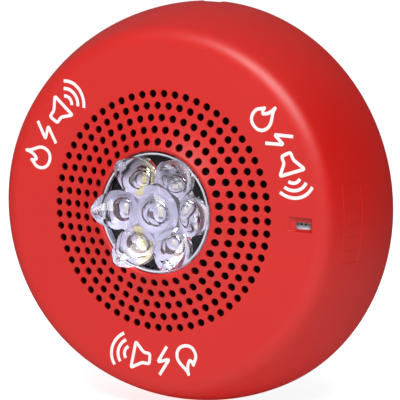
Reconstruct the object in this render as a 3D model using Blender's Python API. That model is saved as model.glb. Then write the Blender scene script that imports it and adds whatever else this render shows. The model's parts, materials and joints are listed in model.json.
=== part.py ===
"""A round horn strobe for fire alarm systems, as an assembly of separate pieces.

The head faces -Y and +Z is up. Depth is measured forwards from the mounting face, so depth = -y.
The origin is at the centre of the mounting face. All sizes are in metres.
"""

import math

import bmesh
import bpy
from mathutils import Vector
from mathutils.geometry import delaunay_2d_cdt

MM = 0.001
GAP = 0.3 * MM
EDGE = 0.3 * MM
TURN = 2 * math.pi

# Outer shell
FACE_DEPTH = 43.5 * MM
FLAT_RADIUS = 71.0 * MM
RIM_RADIUS = 84.2 * MM
RIM_DEPTH = 0.5 * MM
SHOULDER_POWER = 1.68
WALL = 2.2 * MM
INNER_FACE_RADIUS = 70.4 * MM
FLARE_RADIUS = 61.0 * MM
FLARE_START = 52.0 * MM
SHELL_SEGMENTS = 54

# Sound holes: rings of holes whose counts and radii rise together
RING_PITCH = 4.8 * MM
FIRST_RING = 6
RING_COUNT = 5
HOLES_PER_STEP = 6
HOLE_RADIUS = 1.35 * MM
HOLE_SIDES = 6

# Lens and light engine
OPENING_RADIUS = 25.0 * MM
GRILLE_INNER_RADIUS = 26.7 * MM
OPTIC_COUNT = 6
OPTIC_CIRCLE = 16.4 * MM
OPTIC_RADIUS = 7.9 * MM
OPTIC_SEGMENTS = 14
OPTIC_WALL_DEPTH = 50.0 * MM
TIP_DEPTH = 60.2 * MM
TIP_LEAN = 6.2 * MM
LENS_RADIUS = 24.6 * MM
LENS_FLANGE_RADIUS = 30.6 * MM
LENS_BACK_DEPTH = 43.2 * MM
LED_SIDE = 4.0 * MM
LED_BOARD_RADIUS = 30.0 * MM
LED_BOARD_BACK = 41.2 * MM
BOARD_THICKNESS = 1.6 * MM
WELL_RADIUS = 5.8 * MM
SPREADER_THICKNESS = 2.5 * MM
FOOT_CIRCLE = 25.0 * MM

# Moving-coil sounder
HORN_RADIUS = 27.0 * MM
HORN_LENGTH = 14.0 * MM
HORN_WALL = 1.6 * MM
MAGNET_RADIUS = 13.5 * MM
MAGNET_THICKNESS = 3.5 * MM
POLE_RADIUS = 5.0 * MM
POLE_LENGTH = 8.2 * MM
YOKE_THICKNESS = 2.0 * MM
VENT_COUNT = 8
VENT_CIRCLE = 15.0 * MM
VENT_RADIUS = 2.6 * MM

# Candela window, and the selector behind it
WINDOW_CENTRE = 62.1 * MM
WINDOW_LENGTH = 10.6 * MM
WINDOW_WIDTH = 6.1 * MM
FLAG_BACK = 38.2 * MM
FLAG_THICKNESS = 1.2 * MM

# Main board and rear housing
BOARD_RADIUS = 69.5 * MM
BOARD_BACK = 19.0 * MM
BOARD_FRONT = BOARD_BACK + BOARD_THICKNESS
HOUSING_BACK = 15.0 * MM
HOUSING_RADIUS = 79.0 * MM
SCREW_CIRCLE = 62.0 * MM
COMPONENT_CIRCLE = 48.0 * MM
SELECTOR_X = 14.0 * MM
SELECTOR_Z = 34.0 * MM
SELECTOR_BACK = 12.6 * MM

# Mounting plate, its hook pin and its latch
PLATE_RADIUS = 62.0 * MM
PLATE_THICKNESS = 2.5 * MM
SLOT_CIRCLE = 43.0 * MM
PIVOT_DEPTH = 3.0 * MM
PIVOT_Z = -78.5 * MM
PIN_RADIUS = 1.5 * MM
LUG_WIDTH = 14.0 * MM
TILT_LIMIT = math.radians(30)
NOTCH_WIDTH = 9.6 * MM
NOTCH_DEPTH = 5.4 * MM
LATCH_ROOT_Z = 70.0 * MM

# Terminals
TERMINAL_COUNT = 4
TERMINAL_PITCH = 12.0 * MM
TERMINAL_SCREW_Z = -19.0 * MM
TERMINAL_BASE_FRONT = 7.0 * MM


def remove_everything():
    for item in list(bpy.data.objects):
        bpy.data.objects.remove(item, do_unlink=True)


def make_material(name, colour, roughness, metallic=0.0, clear=0.0):
    material = bpy.data.materials.new(name)
    material.use_nodes = True
    shader = material.node_tree.nodes["Principled BSDF"]
    shader.inputs["Base Color"].default_value = (*colour, 1.0)
    shader.inputs["Roughness"].default_value = roughness
    shader.inputs["Metallic"].default_value = metallic
    shader.inputs["Transmission Weight"].default_value = clear
    return material


def make_materials():
    return {
        "red_plastic": make_material("red_plastic", (0.62, 0.02, 0.02), 0.35),
        "clear_lens": make_material("clear_lens", (0.95, 0.95, 1.0), 0.05, clear=1.0),
        "black_plastic": make_material("black_plastic", (0.02, 0.02, 0.02), 0.5),
        "grey_plastic": make_material("grey_plastic", (0.35, 0.35, 0.36), 0.5),
        "white_plastic": make_material("white_plastic", (0.85, 0.85, 0.83), 0.45),
        "black_rubber": make_material("black_rubber", (0.03, 0.03, 0.03), 0.8),
        "screen_cloth": make_material("screen_cloth", (0.01, 0.01, 0.01), 0.95),
        "board_green": make_material("board_green", (0.02, 0.18, 0.07), 0.4),
        "board_white": make_material("board_white", (0.8, 0.8, 0.8), 0.4),
        "phosphor": make_material("phosphor", (0.95, 0.7, 0.08), 0.4),
        "aluminium": make_material("aluminium", (0.75, 0.76, 0.78), 0.35, metallic=1.0),
        "steel": make_material("steel", (0.6, 0.6, 0.62), 0.3, metallic=1.0),
        "brass": make_material("brass", (0.75, 0.55, 0.22), 0.3, metallic=1.0),
        "ferrite": make_material("ferrite", (0.06, 0.06, 0.065), 0.6),
        "copper": make_material("copper", (0.72, 0.35, 0.18), 0.35, metallic=1.0),
        "film": make_material("film", (0.7, 0.6, 0.35), 0.3),
    }


def finish_mesh(name, bm, material, origin=(0, 0, 0), smooth=True):
    """Turns a bmesh, built round its own origin, into a placed object."""
    bmesh.ops.recalc_face_normals(bm, faces=bm.faces)
    mesh = bpy.data.meshes.new(name)
    bm.to_mesh(mesh)
    bm.free()
    mesh.materials.append(material)
    if smooth:
        mesh.shade_smooth()
        mesh.set_sharp_from_angle(angle=math.radians(35))
    item = bpy.data.objects.new(name, mesh)
    bpy.context.scene.collection.objects.link(item)
    item.location = origin
    return item


def at(x, depth, z):
    return Vector((x, -depth, z))


def polar(radius, angle, depth):
    return at(radius * math.cos(angle), depth, radius * math.sin(angle))


def circle(radius, count, centre=(0.0, 0.0), start=0.0):
    """A loop of (x, z) points."""
    angles = [start + TURN * k / count for k in range(count)]
    return [(centre[0] + radius * math.cos(a), centre[1] + radius * math.sin(a)) for a in angles]


def rectangle(width, height, centre=(0.0, 0.0)):
    x, z = centre
    w, h = width / 2, height / 2
    return [(x - w, z - h), (x + w, z - h), (x + w, z + h), (x - w, z + h)]


def obround(length, width, centre, angle, arc_steps=5):
    """A slot outline whose long axis lies along angle."""
    reach = (length - width) / 2
    points = []
    for end in (1, -1):
        for k in range(arc_steps + 1):
            turn = math.pi * (k / arc_steps - 0.5) + (0 if end == 1 else math.pi)
            along = end * reach + width / 2 * math.cos(turn)
            across = width / 2 * math.sin(turn)
            x = centre[0] + along * math.cos(angle) - across * math.sin(angle)
            z = centre[1] + along * math.sin(angle) + across * math.cos(angle)
            points.append((x, z))
    return points


def turned(name, profile, material, origin=(0, 0, 0), segments=16):
    """Spins a (radius, depth) profile round the Y axis. Its ends lie on the axis, or it is closed."""
    bm = bmesh.new()
    verts = [bm.verts.new((radius, -depth, 0)) for radius, depth in profile]
    edges = [bm.edges.new(pair) for pair in zip(verts, verts[1:])]
    if profile[0][0] > 0:
        edges.append(bm.edges.new((verts[-1], verts[0])))
    bmesh.ops.spin(
        bm, geom=verts + edges, cent=(0, 0, 0), axis=(0, 1, 0), angle=TURN, steps=segments
    )
    bmesh.ops.remove_doubles(bm, verts=bm.verts, dist=1e-6)
    return finish_mesh(name, bm, material, origin)


def ring(name, inner, outer, back, front, material, origin=(0, 0, 0), segments=24):
    profile = [(inner, back), (outer, back), (outer, front), (inner, front)]
    return turned(name, profile, material, origin, segments)


def disc(name, radius, back, front, material, origin=(0, 0, 0), segments=16):
    profile = [(0, back), (radius, back), (radius, front), (0, front)]
    return turned(name, profile, material, origin, segments)


def block(name, size, origin, material, bevel=0.0):
    """A box of (width, depth, height) centred on origin."""
    bm = bmesh.new()
    bmesh.ops.create_cube(bm, size=1.0)
    bmesh.ops.scale(bm, vec=size, verts=bm.verts)
    if bevel:
        bmesh.ops.bevel(bm, geom=bm.edges, offset=bevel, segments=1, affect="EDGES")
    return finish_mesh(name, bm, material, origin, smooth=False)


def box_between(name, low, high, material, bevel=0.0):
    """A box from (x, depth, z) low to high."""
    middle = [(a + b) / 2 for a, b in zip(low, high)]
    size = [abs(b - a) for a, b in zip(low, high)]
    return block(name, size, at(*middle), material, bevel)


def extruded(name, outline, start, end, material, origin=(0, 0, 0)):
    """Extrudes a (horizontal, depth) outline along Z."""
    bm = bmesh.new()
    verts = [bm.verts.new((x, -depth, start)) for x, depth in outline]
    face = bm.faces.new(verts)
    moved = bmesh.ops.extrude_face_region(bm, geom=[face])["geom"]
    top = [item for item in moved if isinstance(item, bmesh.types.BMVert)]
    bmesh.ops.translate(bm, vec=(0, 0, end - start), verts=top)
    return finish_mesh(name, bm, material, origin, smooth=False)


def join_loops(bm, rings):
    """Bridges each ring of vertices to the next one."""
    for near, far in zip(rings, rings[1:]):
        for k in range(len(near)):
            n = (k + 1) % len(near)
            bm.faces.new((near[k], near[n], far[n], far[k]))


def pierced_sheet(
    name, outline, holes, front, back, material, origin=(0, 0, 0), extra=(), paths=None
):
    """A sheet with convex holes, between two depths that may follow the radius.

    paths gives a loop that is a circle round the axis a chain of (radius, depth) rings in place of
    a straight wall. Loop 0 is the outline.
    """
    paths = paths or {}
    loops = [outline, *holes]
    points = []
    owner = []
    edges = []
    for index, loop in enumerate(loops):
        first = len(points)
        points += [Vector(p) for p in loop]
        owner += [index] * len(loop)
        edges += [(first + k, first + (k + 1) % len(loop)) for k in range(len(loop))]
    points += [Vector(p) for p in extra]
    owner += [None] * len(extra)
    flat, _, triangles, sources, _, _ = delaunay_2d_cdt(points, edges, [], 1, 1e-9)

    bm = bmesh.new()
    sides = []
    for depth_at in (front, back):
        sides.append([bm.verts.new((p.x, -depth_at(p.length), p.y)) for p in flat])
    place = {source: index for index, found in enumerate(sources) for source in found}
    for triangle in triangles:
        owners = {owner[sources[corner][0]] for corner in triangle}
        if len(owners) == 1 and owners.pop() not in (None, 0):
            continue
        bm.faces.new([sides[0][corner] for corner in triangle])
        bm.faces.new([sides[1][corner] for corner in reversed(triangle)])

    first = 0
    for index, loop in enumerate(loops):
        corners = [place[first + k] for k in range(len(loop))]
        first += len(loop)
        rings = [[sides[0][corner] for corner in corners]]
        for radius, depth in paths.get(index, []):
            directions = [flat[corner].normalized() for corner in corners]
            rings.append([bm.verts.new((u.x * radius, -depth, u.y * radius)) for u in directions])
        rings.append([sides[1][corner] for corner in corners])
        join_loops(bm, rings)
    bmesh.ops.delete(bm, geom=[v for v in bm.verts if not v.link_faces], context="VERTS")
    return finish_mesh(name, bm, material, origin)


def flat_sheet(name, outline, holes, back, front, material, origin=(0, 0, 0)):
    return pierced_sheet(name, outline, holes, lambda r: front, lambda r: back, material, origin)


def change(item, other, operation):
    """Cuts a helper out of an item, or joins it on, and applies the change."""
    modifier = item.modifiers.new(operation.lower(), "BOOLEAN")
    modifier.operation = operation
    modifier.solver = "EXACT"
    modifier.object = other
    bpy.context.view_layer.update()
    graph = bpy.context.evaluated_depsgraph_get()
    result = bpy.data.meshes.new_from_object(item.evaluated_get(graph))
    item.modifiers.clear()
    item.data = result
    bpy.data.objects.remove(other, do_unlink=True)


def cut(item, other):
    change(item, other, "DIFFERENCE")


def join(item, other):
    change(item, other, "UNION")


def face_depth(radius):
    """Depth of the front surface: flat outside FLARE_START, then an arc that rises to the lens."""
    inwards = max(0.0, FLARE_START - radius)
    return FACE_DEPTH + FLARE_RADIUS - math.sqrt(FLARE_RADIUS**2 - inwards**2)


def wall_radius(depth):
    """Radius of the outer wall, a superellipse from the flat face's edge to the rear rim."""
    height = max(0.0, depth / FACE_DEPTH)
    bulge = (1 - height**SHOULDER_POWER) ** (1 / SHOULDER_POWER)
    return FLAT_RADIUS + (RIM_RADIUS - FLAT_RADIUS) * bulge


def sound_hole_loops():
    loops = []
    for step in range(FIRST_RING, FIRST_RING + RING_COUNT):
        count = step * HOLES_PER_STEP
        for k in range(count):
            angle = TURN * k / count
            centre = (step * RING_PITCH * math.cos(angle), step * RING_PITCH * math.sin(angle))
            loops.append(circle(HOLE_RADIUS, HOLE_SIDES, centre, angle))
    return loops


def outer_wall_path():
    """From the flat face over the shoulder to the rim, then up inside the wall."""
    drops = [0.004, 0.03, 0.09, 0.2, 0.36, 0.6, 0.82]
    outside = [(wall_radius(FACE_DEPTH * (1 - t)), FACE_DEPTH * (1 - t)) for t in drops]
    rim = [(wall_radius(RIM_DEPTH), RIM_DEPTH), (wall_radius(RIM_DEPTH) - WALL, RIM_DEPTH)]
    inner_depths = [10 * MM, 20 * MM, 30 * MM, 36.5 * MM]
    inside = [(wall_radius(depth) - WALL, depth) for depth in inner_depths]
    return outside + rim + inside


def opening_path():
    """Round the lip of the lens opening, from the front surface to the back one."""
    lip = face_depth(OPENING_RADIUS)
    edge = 0.5 * MM
    return [
        (OPENING_RADIUS + edge, face_depth(OPENING_RADIUS + edge)),
        (OPENING_RADIUS, lip - edge),
        (OPENING_RADIUS, lip - WALL + edge),
    ]


def front_cover(materials):
    outline = circle(INNER_FACE_RADIUS, SHELL_SEGMENTS)
    opening = circle(GRILLE_INNER_RADIUS, SHELL_SEGMENTS)
    window = rectangle(WINDOW_LENGTH, WINDOW_WIDTH, (WINDOW_CENTRE, 0))
    cover = pierced_sheet(
        "front_cover",
        outline,
        [opening, window, *sound_hole_loops()],
        face_depth,
        lambda radius: face_depth(radius) - WALL,
        materials["red_plastic"],
        extra=circle(FLARE_START, SHELL_SEGMENTS),
        paths={0: outer_wall_path(), 1: opening_path()},
    )
    add_pivot_lug(cover, materials)
    low = (-NOTCH_WIDTH / 2, -1 * MM, 75 * MM)
    high = (NOTCH_WIDTH / 2, NOTCH_DEPTH, 90 * MM)
    cut(cover, box_between("notch_cutter", low, high, materials["red_plastic"]))
    bevel_the_rim(cover, materials)
    return cover


def add_pivot_lug(cover, materials):
    """A hooked lug inside the rim, which wraps round the back of the plate's pin."""
    inner, outer = PIN_RADIUS + GAP, PIN_RADIUS + 1.3 * MM
    root_z = -4.2 * MM
    root_front = -2.4 * MM
    steps = 8
    arc = [math.radians(-20 + 200 * k / steps) for k in range(steps + 1)]
    bm = bmesh.new()
    # Each point is upwards from the pin, then backwards from it.
    loop = [(outer * math.cos(a), outer * math.sin(a)) for a in arc]
    loop += [(root_z, 0.0), (root_z, root_front), (-inner, root_front)]
    loop += [(inner * math.cos(a), inner * math.sin(a)) for a in reversed(arc)]
    near = -LUG_WIDTH / 2
    verts = [bm.verts.new((near, back, up)) for up, back in loop]
    face = bm.faces.new(verts)
    moved = bmesh.ops.extrude_face_region(bm, geom=[face])["geom"]
    far = [item for item in moved if isinstance(item, bmesh.types.BMVert)]
    bmesh.ops.translate(bm, vec=(LUG_WIDTH, 0, 0), verts=far)
    lug = finish_mesh("pivot_lug", bm, materials["red_plastic"], at(0, PIVOT_DEPTH, PIVOT_Z))
    join(cover, lug)


def bevel_the_rim(cover, materials):
    """Takes off what would reach behind the mounting face when the head is tilted fully."""
    size = 60 * MM
    bm = bmesh.new()
    bmesh.ops.create_cube(bm, size=size)
    clearance = PIVOT_DEPTH - 0.15 * MM
    bmesh.ops.translate(bm, vec=(0, clearance + size / 2, 0), verts=bm.verts)
    cutter = finish_mesh("bevel_cutter", bm, materials["red_plastic"], at(0, PIVOT_DEPTH, PIVOT_Z))
    cutter.rotation_euler = (-TILT_LIMIT, 0, 0)
    cut(cover, cutter)


def grille_screen(materials):
    inner = 32.6 * MM
    back = FACE_DEPTH - WALL - GAP - 0.6 * MM
    return ring("grille_screen", inner, FLARE_START, back, back + 0.6 * MM, materials["screen_cloth"])


def optic_centres():
    """The centre optic and the six round it, as (x, z, lean direction)."""
    centres = [(0.0, 0.0, None)]
    for k in range(OPTIC_COUNT):
        angle = TURN * k / OPTIC_COUNT
        centres.append((OPTIC_CIRCLE * math.cos(angle), OPTIC_CIRCLE * math.sin(angle), angle))
    return centres


def optic(name, x, z, lean, material):
    """An upright round wall under a cone whose tip leans outwards."""
    shift = (0.0, 0.0) if lean is None else (TIP_LEAN * math.cos(lean), TIP_LEAN * math.sin(lean))
    root = LENS_BACK_DEPTH + 3.3 * MM
    bm = bmesh.new()
    loop = circle(OPTIC_RADIUS, OPTIC_SEGMENTS, (x, z))
    lower = [bm.verts.new((px, -root, pz)) for px, pz in loop]
    upper = [bm.verts.new((px, -OPTIC_WALL_DEPTH, pz)) for px, pz in loop]
    tip = bm.verts.new((x + shift[0], -TIP_DEPTH, z + shift[1]))
    bm.faces.new(lower)
    join_loops(bm, [lower, upper])
    for k in range(OPTIC_SEGMENTS):
        bm.faces.new((upper[k], upper[(k + 1) % OPTIC_SEGMENTS], tip))
    return finish_mesh(name, bm, material)


def strobe_lens(materials):
    back = LENS_BACK_DEPTH
    skirt = 1.3 * MM
    plate_back = back + 2.8 * MM
    profile = [
        (0, plate_back),
        (LENS_RADIUS - skirt, plate_back),
        (LENS_RADIUS - skirt, back),
        (LENS_FLANGE_RADIUS, back),
        (LENS_FLANGE_RADIUS, back + 1.4 * MM),
        (LENS_RADIUS, back + 1.4 * MM),
        (LENS_RADIUS, plate_back + 1.4 * MM),
        (0, plate_back + 1.4 * MM),
    ]
    lens = turned("strobe_lens", profile, materials["clear_lens"], segments=48)
    for x, z, lean in optic_centres():
        join(lens, optic("optic", x, z, lean, materials["clear_lens"]))
    return lens


def lens_gasket(materials):
    back = LENS_BACK_DEPTH + 1.4 * MM + GAP
    front = back + 1.0 * MM
    inner = LENS_RADIUS + 0.8 * MM
    return ring("lens_gasket", inner, inner + 2.2 * MM, back, front, materials["black_rubber"])


def optic_holder(materials):
    """A black disc inside the lens's skirt, with a well round each emitter."""
    wells = [circle(WELL_RADIUS, 16, (x, z)) for x, z, _ in optic_centres()]
    back = LED_BOARD_BACK + BOARD_THICKNESS + GAP
    front = back + 2.5 * MM
    outline = circle(LENS_RADIUS - 1.7 * MM, 36)
    return flat_sheet("optic_holder", outline, wells, back, front, materials["black_plastic"])


def light_engine(materials):
    """The LED board, its seven emitters and the aluminium spreader under it."""
    outline = circle(LED_BOARD_RADIUS, 36)
    front = LED_BOARD_BACK + BOARD_THICKNESS
    white = materials["board_white"]
    pieces = [disc("led_board", LED_BOARD_RADIUS, LED_BOARD_BACK, front, white, segments=36)]
    for number, (x, z, _) in enumerate(optic_centres(), 1):
        size = (LED_SIDE, 1.4 * MM, LED_SIDE)
        origin = at(x, front + GAP + size[1] / 2, z)
        pieces.append(block(f"led_{number}", size, origin, materials["phosphor"], 0.3 * MM))
    sink_front = LED_BOARD_BACK - GAP
    sink_back = sink_front - SPREADER_THICKNESS
    sink = flat_sheet("heat_sink", outline, [], sink_back, sink_front, materials["aluminium"])
    for k in range(3):
        foot = polar(FOOT_CIRCLE, TURN * k / 3 + math.radians(30), 0)
        depths = (sink_back - 2.0 * MM, sink_back + 1.0 * MM)
        join(sink, disc("foot", 3 * MM, *depths, materials["aluminium"], foot, 12))
    pieces.append(sink)
    return pieces


def horn(materials):
    """The moving-coil sounder: frame, magnet system, coil, diaphragm and vented cap."""
    base = BOARD_FRONT + GAP
    floor = base + HORN_WALL
    rim = base + HORN_LENGTH
    inner = HORN_RADIUS - 2 * MM
    steel = materials["steel"]
    black = materials["black_plastic"]
    frame_profile = [
        (0, base),
        (HORN_RADIUS, base),
        (HORN_RADIUS, rim),
        (inner, rim),
        (inner, floor),
        (0, floor),
    ]
    yoke_back = floor + GAP
    yoke_front = yoke_back + YOKE_THICKNESS
    pole_front = yoke_back + POLE_LENGTH
    yoke_radius = MAGNET_RADIUS + 0.5 * MM
    yoke_profile = [
        (0, yoke_back),
        (yoke_radius, yoke_back),
        (yoke_radius, yoke_front),
        (POLE_RADIUS, yoke_front),
        (POLE_RADIUS, pole_front),
        (0, pole_front),
    ]
    magnet = (8.5 * MM, MAGNET_RADIUS, yoke_front + GAP, yoke_front + GAP + MAGNET_THICKNESS)
    plate = (6.8 * MM, MAGNET_RADIUS, magnet[3] + GAP, pole_front)
    coil = (5.5 * MM, 6.3 * MM, plate[2] - 1.2 * MM, pole_front + 1.6 * MM)
    vents = []
    for k in range(VENT_COUNT):
        angle = TURN * k / VENT_COUNT
        centre = (VENT_CIRCLE * math.cos(angle), VENT_CIRCLE * math.sin(angle))
        vents.append(circle(VENT_RADIUS, 8, centre, angle))
    cap_outline = circle(HORN_RADIUS, 24)
    cap_back = rim + GAP
    cap_front = cap_back + 0.9 * MM
    fixed = [
        turned("horn_frame", frame_profile, black, segments=24),
        turned("horn_yoke", yoke_profile, steel, segments=24),
        ring("horn_magnet", *magnet, materials["ferrite"]),
        ring("horn_top_plate", *plate, steel),
        flat_sheet("horn_cap", cap_outline, vents, cap_back, cap_front, black),
    ]
    dome = diaphragm_profile(coil[3] + GAP)
    moving = [
        ring("voice_coil", *coil, materials["copper"]),
        turned("horn_diaphragm", dome, materials["film"], segments=24),
    ]
    return fixed + moving


def diaphragm_profile(back):
    """A dome over the coil and one half-roll surround, of even thickness."""
    thickness = 0.5 * MM
    dome_radius = 7.0 * MM
    edge_radius = 23.8 * MM
    middle = []
    for k in range(4):
        radius = dome_radius * k / 3
        middle.append((radius, back + 1.2 * MM * math.cos(math.pi / 2 * k / 3) ** 2))
    for k in range(1, 5):
        radius = dome_radius + (edge_radius - dome_radius) * k / 4
        middle.append((radius, back + 0.9 * MM * math.sin(math.pi * k / 4)))
    return middle + [(radius, depth + thickness) for radius, depth in reversed(middle)]


def board_parts(materials):
    """The main board with the larger components that stand on it."""
    holes = [circle(1.6 * MM, 12, screw_place(k)) for k in range(3)]
    outline = circle(BOARD_RADIUS, 36)
    green = materials["board_green"]
    pieces = [flat_sheet("main_board", outline, holes, BOARD_BACK, BOARD_FRONT, green)]
    base = BOARD_FRONT + GAP
    # Radius and height in millimetres, and place round the board in degrees
    cans = ((6.3, 16.0, 140), (5.0, 12.5, 164))
    for number, (radius, height, degrees) in enumerate(cans, 1):
        origin = polar(COMPONENT_CIRCLE, math.radians(degrees), base)
        profile = can_profile(radius * MM, height * MM)
        pieces.append(turned(f"capacitor_{number}", profile, materials["aluminium"], origin))
    origin = polar(COMPONENT_CIRCLE, math.radians(208), base)
    pieces.append(turned("inductor", bobbin_profile(), materials["ferrite"], origin))
    chip = polar(COMPONENT_CIRCLE - 2 * MM, math.radians(318), base + 0.8 * MM)
    chip_size = (12 * MM, 1.6 * MM, 12 * MM)
    pieces.append(block("control_chip", chip_size, chip, materials["black_plastic"], 0.2 * MM))
    pieces += led_lead(base, materials)
    for k in range(3):
        x, z = screw_place(k)
        sizes = (2.8 * MM, 1.2 * MM, 1.8 * MM, 4.6 * MM)
        pieces.append(screw(f"board_screw_{k + 1}", *sizes, at(x, base, z), materials["steel"]))
    return pieces


def can_profile(radius, height):
    """A capacitor can with a rolled groove near its base."""
    waist = radius - 0.4 * MM
    groove = [(radius, 2 * MM), (waist, 2.6 * MM), (radius, 3.2 * MM)]
    return [(0, 0), (radius, 0), *groove, (radius, height), (0, height)]


def bobbin_profile():
    """A ferrite drum core: two cheeks with a winding space between them."""
    cheek, drum, height = 8 * MM, 6.4 * MM, 9 * MM
    edge, slope = 1.5 * MM, 0.5 * MM
    return [
        (0, 0),
        (cheek, 0),
        (cheek, edge),
        (drum, edge + slope),
        (drum, height - edge - slope),
        (cheek, height - edge),
        (cheek, height),
        (0, height),
    ]


def led_lead(base, materials):
    """The plug on the main board and the ribbon that rises from it to the LED board."""
    plug_height = 4 * MM
    plug = at(0, base + plug_height / 2, 33 * MM)
    size = (12 * MM, plug_height, 5 * MM)
    low = (-4 * MM, base + plug_height + GAP, 30.9 * MM)
    high = (4 * MM, LED_BOARD_BACK + BOARD_THICKNESS, 31.5 * MM)
    return [
        block("led_connector", size, plug, materials["white_plastic"], 0.3 * MM),
        box_between("led_ribbon", low, high, materials["grey_plastic"]),
    ]


def screw_place(k):
    angle = math.radians(30) + TURN * k / 3
    return (SCREW_CIRCLE * math.cos(angle), SCREW_CIRCLE * math.sin(angle))


def screw(name, head_radius, shank_radius, head_height, shank_length, origin, material):
    """A slotted screw along Y. Its origin is on its axis, at the underside of its head."""
    edge = 0.35 * MM
    profile = [
        (0, -shank_length),
        (shank_radius * 0.6, -shank_length),
        (shank_radius, -shank_length + edge),
        (shank_radius, 0),
        (head_radius, 0),
        (head_radius, head_height - edge),
        (head_radius - edge, head_height),
        (0, head_height),
    ]
    item = turned(name, profile, material, origin, 12)
    slot_size = (head_radius * 3, 1.8 * MM, 0.8 * MM)
    slot_origin = origin + at(0, head_height, 0)
    cut(item, block("slot_cutter", slot_size, slot_origin, material))
    return item


def candela_parts(materials):
    """The candela selector under its window: switch body, sliding flag and clear insert."""
    base = BOARD_FRONT + GAP
    body_front = base + 7 * MM
    x = WINDOW_CENTRE
    half = 5 * MM
    white = materials["white_plastic"]
    body_low = (x - half, base, -9 * MM)
    body_high = (x + half, body_front, 9 * MM)
    body = box_between("candela_switch", body_low, body_high, materials["black_plastic"], EDGE)
    stem_low = (x - 1.5 * MM, body_front + GAP, -5 * MM)
    stem_high = (x + 1.5 * MM, FLAG_BACK + 0.5 * MM, -2 * MM)
    slider = box_between("candela_slider", stem_low, stem_high, white)
    flag_low = (x - half, FLAG_BACK, -9.5 * MM)
    flag_high = (x + half, FLAG_BACK + FLAG_THICKNESS, 3.5 * MM)
    join(slider, box_between("flag", flag_low, flag_high, white))
    insert_front = FACE_DEPTH - WALL - GAP
    insert_low = (x - 7 * MM, insert_front - 1 * MM, -4.6 * MM)
    insert_high = (x + 7 * MM, insert_front, 4.6 * MM)
    clear = materials["clear_lens"]
    insert = box_between("window_insert", insert_low, insert_high, clear, 0.2 * MM)
    return [body, insert, slider]


def rear_selector(label, x, z, materials):
    """A slide switch on the back of the board, reached through the rear housing."""
    front = BOARD_BACK - GAP
    half_width, half_height = 5 * MM, 3 * MM
    low = (x - half_width, SELECTOR_BACK, z - half_height)
    high = (x + half_width, front, z + half_height)
    knob_size = (2.4 * MM, 1.6 * MM, 3 * MM)
    knob_place = at(x - 1.5 * MM, SELECTOR_BACK - GAP - knob_size[1] / 2, z)
    return [
        box_between(f"{label}_switch", low, high, materials["black_plastic"], EDGE),
        block(f"{label}_slider", knob_size, knob_place, materials["white_plastic"], 0.2 * MM),
    ]


def rear_housing(materials):
    """A tray that closes the back of the head, with bosses for the board."""
    windows = [rectangle(11.4 * MM, 7.4 * MM, (side * SELECTOR_X, SELECTOR_Z)) for side in (-1, 1)]
    black = materials["black_plastic"]
    front = HOUSING_BACK + 2 * MM
    outline = circle(HOUSING_RADIUS, SHELL_SEGMENTS)
    tray = flat_sheet("rear_housing", outline, windows, HOUSING_BACK, front, black)
    wall_profile = (73.5 * MM, 75.5 * MM, front - 0.5 * MM, front + 7 * MM)
    join(tray, ring("tray_wall", *wall_profile, black, segments=36))
    for k in range(3):
        x, z = screw_place(k)
        origin = at(x, 0, z)
        join(tray, disc("boss", 4 * MM, front - 0.5 * MM, BOARD_BACK - GAP, black, origin, 12))
        cut(tray, disc("boss_bore", 1.6 * MM, front - 1.2 * MM, BOARD_FRONT, black, origin, 12))
    return tray


def contact_header(materials):
    """The head's contact strip: four fingers that press on the terminal pads."""
    front = HOUSING_BACK - GAP
    back = front - 1.8 * MM
    z_low, z_high = -36 * MM, -30 * MM
    brass = materials["brass"]
    half_length = TERMINAL_COUNT / 2 * TERMINAL_PITCH
    low = (-half_length, back, z_low)
    high = (half_length, front, z_high)
    strip = box_between("contact_header", low, high, brass, 0.2 * MM)
    for x in terminal_places():
        low = (x - 2 * MM, TERMINAL_BASE_FRONT + 0.6 * MM, z_low + 1 * MM)
        high = (x + 2 * MM, back + 0.5 * MM, z_high - 1 * MM)
        join(strip, box_between("finger", low, high, brass))
    return strip


def terminal_places():
    first = -(TERMINAL_COUNT - 1) / 2
    return [(first + k) * TERMINAL_PITCH for k in range(TERMINAL_COUNT)]


def mounting_plate(materials):
    """The plate that screws to the electrical box, with its hook pin at the bottom."""
    grey = materials["grey_plastic"]
    slots = []
    for k in range(4):
        angle = TURN * k / 4
        centre = (SLOT_CIRCLE * math.cos(angle), SLOT_CIRCLE * math.sin(angle))
        slots.append(obround(9.5 * MM, 4.6 * MM, centre, angle))
    wire_entry = rectangle(44 * MM, 20 * MM, (0, 15 * MM))
    outline = circle(PLATE_RADIUS, 36)
    plate = flat_sheet("mounting_plate", outline, [wire_entry, *slots], 0, PLATE_THICKNESS, grey)
    arm_inner = LUG_WIDTH / 2 + 1 * MM
    arm_outer = arm_inner + 3 * MM
    for side in (-1, 1):
        low = (side * arm_inner, PIVOT_DEPTH - PIN_RADIUS, PIVOT_Z)
        high = (side * arm_outer, PIVOT_DEPTH + PIN_RADIUS, -55 * MM)
        join(plate, box_between("hook_arm", low, high, grey))
    bm = bmesh.new()
    bmesh.ops.create_cone(
        bm, cap_ends=True, segments=16, radius1=PIN_RADIUS, radius2=PIN_RADIUS, depth=2 * arm_outer
    )
    pin = finish_mesh("pin", bm, grey, at(0, PIVOT_DEPTH, PIVOT_Z))
    pin.rotation_euler = (0, math.pi / 2, 0)
    join(plate, pin)
    low = (-7 * MM, 0.4 * MM, 50 * MM)
    high = (7 * MM, PLATE_THICKNESS + 1.5 * MM, LATCH_ROOT_Z - 2.2 * MM)
    join(plate, box_between("latch_seat", low, high, grey))
    return plate


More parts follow.
